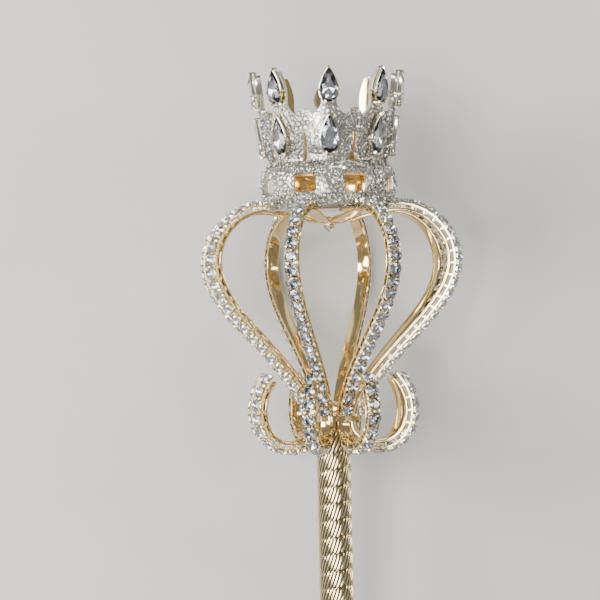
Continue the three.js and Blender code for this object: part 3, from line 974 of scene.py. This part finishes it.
def make_pears(name, pear):
    """Eight like pear stones and their collets."""
    drop = pear_outline(pear["width"], pear["height"], PEAR_POINTS)
    depth = pear["depth"]
    girdle = depth * PEAR_GIRDLE_SHARE
    stone = placed_object("template", cut_stone(
        drop, (0, pear["height"] * PEAR_HEART_SHARE), PEAR_TABLE_SHARE, PEAR_STAR_SHARE, girdle,
        depth - girdle, girdle * PEAR_CULET_SHARE, PEAR_GIRDLE_THICKNESS))
    collet = bmesh.new()
    ring_solid(collet, [(share, girdle + rise) for share, rise in COLLET_RIM], drop)
    ring_solid(collet, COLLET_FOOT, drop)
    plate = [[collet.verts.new((x * BACK_SHARE, height, z * BACK_SHARE)) for x, z in drop]
             for height in BACK_LEVELS]
    collet.faces.new(plate[0])
    collet.faces.new(plate[1])
    for k in range(PEAR_POINTS):
        after = (k + 1) % PEAR_POINTS
        collet.faces.new((plate[0][k], plate[0][after], plate[1][after], plate[1][k]))
    claw_steps = [(-PEAR_LIFT, -0.05, 1.0)]
    claw_steps += [(girdle + rise, lean, share) for rise, lean, share in PEAR_CLAW_STEPS]
    for k in PEAR_CLAWS:
        spot = Vector(drop[k])
        claw(collet, math.atan2(spot.y, spot.x), spot.length * PEAR_CLAW_REACH, claw_steps,
             PEAR_CLAW_WIDTH, PEAR_CLAW_DEPTH)
    bmesh.ops.recalc_face_normals(collet, faces=collet.faces)
    holder = placed_object("template", as_mesh(collet, "collet"))
    places = [seat(drawn(turn), pear["level"], PEAR_LIFT) for turn in PEAK_TURNS]
    ones = [1.0] * COUNT
    nodes = [f"{name}_pear_stone_{i + 1}" for i in range(COUNT)]
    stones = set_parts(stone, places, ones, crystal, foil)
    lay_piece(stones, f"{name}_pear_stones", nodes, crease=0)
    collets = set_parts(holder, places, ones, cast_gold, cast_gold)
    lay_piece(collets, f"{name}_pear_collets", nodes)
    bpy.data.objects.remove(stone)
    bpy.data.objects.remove(holder)


make_pears("lower", LOWER_PEAR)
make_pears("upper", UPPER_PEAR)

# ---- Pave ----
# Small single-cut stones, bead set all over the crown's outer face: a halo round each lower drop, a
# row along every edge, and close rows between, with one larger stone on each panel of the drum.
PAVE_RADIUS = 0.88
PAVE_POINTS = 8
PAVE_TILT, PAVE_SPIN = math.radians(11), math.pi
PAVE_PITCH = 1.8
PAVE_CROWDING = 0.93
EDGE_GAP = 0.02
ROW_GAP = PAVE_PITCH * math.sqrt(3) / 2
DROP_MARGINS, DROP_MARGIN_POINTS = (1.1, 1.06), 24
CELL_SIZE = 4
FILLER_RADIUS, FILLER_STEP = 0.58, 0.5
PANEL_STONE_RADIUS, PANEL_STONE_LEVEL = 1.35, 379.8
PAVE_TABLE_SHARE, PAVE_STAR_SHARE, PAVE_GIRDLE = 0.6, 0.84, 0.35
PAVE_RISE, PAVE_CULET, PAVE_GIRDLE_THICKNESS = 0.5, 0.75, 0.1
BEAD_RADIUS, BEADS_PER_RADIUS = 0.22, 4.5
BEAD_GAP, BEAD_LEVEL, BEAD_SIZES = 0.08, 0.28, (0.8, 1.15)
BEAD_SEED = 11


def gap_between(p, q):
    """Distance on the drawing, which closes on itself sideways."""
    across = abs(p[0] - q[0]) % DRAWN_ROUND
    return math.hypot(min(across, DRAWN_ROUND - across), p[1] - q[1])


def from_line(point, a, b):
    """Distance from a point to a straight stretch of outline."""
    run = b - a
    share = max(0.0, min(1.0, (point - a).dot(run) / max(run.length_squared, 1e-12)))
    return (point - a - run * share).length


def evenly(loop, spacing):
    """Points at even spacing along a closed outline, with the direction square to it."""
    length = sum((q - p).length for p, q in zip(loop, loop[1:] + loop[:1]))
    count = max(round(length / spacing), 1)
    marks, gone, wanted = [], 0.0, 0
    for p, q in zip(loop, loop[1:] + loop[:1]):
        run = (q - p).length
        while wanted < count and gone + run > wanted * length / count:
            share = (wanted * length / count - gone) / run
            marks.append((p.lerp(q, share), Vector((p.y - q.y, q.x - p.x)) / run))
            wanted += 1
        gone += run
    return marks


drop_outlines = []
for pear in (LOWER_PEAR, UPPER_PEAR):
    wider, higher = DROP_MARGINS
    drop = pear_outline(pear["width"] * wider, pear["height"] * higher, DROP_MARGIN_POINTS)
    for peak in peaks[:-1]:
        drop_outlines.append([
            Vector((peak - drawn_width(x, pear["level"]), pear["level"] + z)) for x, z in drop])
edges = list(zip(smooth_top, smooth_top[1:]))
edges += [(a, b) for loop in holes + drop_outlines for a, b in zip(loop, loop[1:] + loop[:1])]
by_column = {}
COLUMNS = math.ceil(DRAWN_ROUND)
for a, b in edges:
    for column in range(math.floor(min(a.x, b.x)) - 2, math.floor(max(a.x, b.x)) + 3):
        by_column.setdefault(column % COLUMNS, []).append((a, b))


def clear_of_edges(point, margin):
    """Whether a stone at a point stands on metal, a margin away from every edge and drop."""
    if not foot + margin < point.y < tip:
        return False
    edges_above = 0
    for a, b in by_column.get(math.floor(point.x) % COLUMNS, []):
        for shift in (0, DRAWN_ROUND, -DRAWN_ROUND):
            shifted = point + Vector((shift, 0))
            if from_line(shifted, a, b) < margin:
                return False
            if (a.x <= shifted.x) != (b.x <= shifted.x):
                level = a.y + (b.y - a.y) * (shifted.x - a.x) / (b.x - a.x)
                edges_above += level > point.y
    return edges_above % 2 == 1


stones = []
by_cell = {}
CELLS = math.ceil(DRAWN_ROUND / CELL_SIZE)


def place_stone(point, radius=PAVE_RADIUS):
    """Adds a stone where there is room for it between its neighbours."""
    point = Vector((point.x % DRAWN_ROUND, point.y))
    column, level = math.floor(point.x / CELL_SIZE), math.floor(point.y / CELL_SIZE)
    for i in (-1, 0, 1):
        for j in (-1, 0, 1):
            for other, other_radius in by_cell.get(((column + i) % CELLS, level + j), []):
                if gap_between(point, other) < (radius + other_radius) * PAVE_CROWDING:
                    return
    if clear_of_edges(point, radius):
        stones.append((point, radius))
        by_cell.setdefault((column, level), []).append((point, radius))


for peak in peaks[:-1]:
    place_stone(Vector((peak, PANEL_STONE_LEVEL)), PANEL_STONE_RADIUS)
rim_line = smooth_top + [Vector((DRAWN_ROUND, foot)), Vector((0, foot))]
for loop in [*drop_outlines[:COUNT], rim_line, *holes]:
    for mark, square in evenly(loop, PAVE_PITCH):
        for way in (-1, 1):
            place_stone(mark + square * way * (PAVE_RADIUS + EDGE_GAP))
across_count = round(DRAWN_ROUND / PAVE_PITCH)
for j in range(math.ceil((tip - foot) / ROW_GAP)):
    for i in range(across_count):
        level = foot + PAVE_RADIUS + EDGE_GAP + j * ROW_GAP
        place_stone(Vector(((i + j % 2 / 2) * DRAWN_ROUND / across_count, level)))
for radius in (PAVE_RADIUS, FILLER_RADIUS):
    for j in range(math.ceil((tip - foot) / FILLER_STEP)):
        for i in range(math.floor(DRAWN_ROUND / FILLER_STEP)):
            place_stone(Vector((i * FILLER_STEP, foot + j * FILLER_STEP)), radius)

single_cut = placed_object("template", cut_stone(
    circle_points(1, PAVE_POINTS), (0, 0), PAVE_TABLE_SHARE, PAVE_STAR_SHARE, PAVE_GIRDLE, PAVE_RISE,
    PAVE_CULET, PAVE_GIRDLE_THICKNESS))
places = [seat(point.x, point.y, 0.0) for point, radius in stones]
pave_stones = set_parts(
    single_cut, places, [radius for point, radius in stones], crystal, foil, PAVE_TILT, PAVE_SPIN)
lay_piece(pave_stones, "crown_pave_stones", ["crown"], crease=0)
bpy.data.objects.remove(single_cut)

# Between the stones the setter raises beads of the crown's own metal over their edges.
bead = bmesh.new()
bmesh.ops.create_icosphere(bead, subdivisions=1, radius=1)
bead_part = placed_object("template", as_mesh(bead, "bead"))
dice = random.Random(BEAD_SEED)
beads = []
for point, radius in stones:
    first = dice.uniform(0, math.tau)
    around = round(radius * BEADS_PER_RADIUS)
    for step in range(around):
        angle = first + step * math.tau / around
        beads.append(point + Vector((math.cos(angle), math.sin(angle))) * (radius + BEAD_GAP))
places = [seat(spot.x, spot.y, BEAD_LEVEL) for spot in beads]
sizes = [BEAD_RADIUS * dice.uniform(*BEAD_SIZES) for spot in beads]
pave_beads = set_parts(bead_part, places, sizes, white_flash, white_flash)
lay_piece(pave_beads, "crown_pave_beads", ["crown"])
bpy.data.objects.remove(bead_part)


low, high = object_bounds()
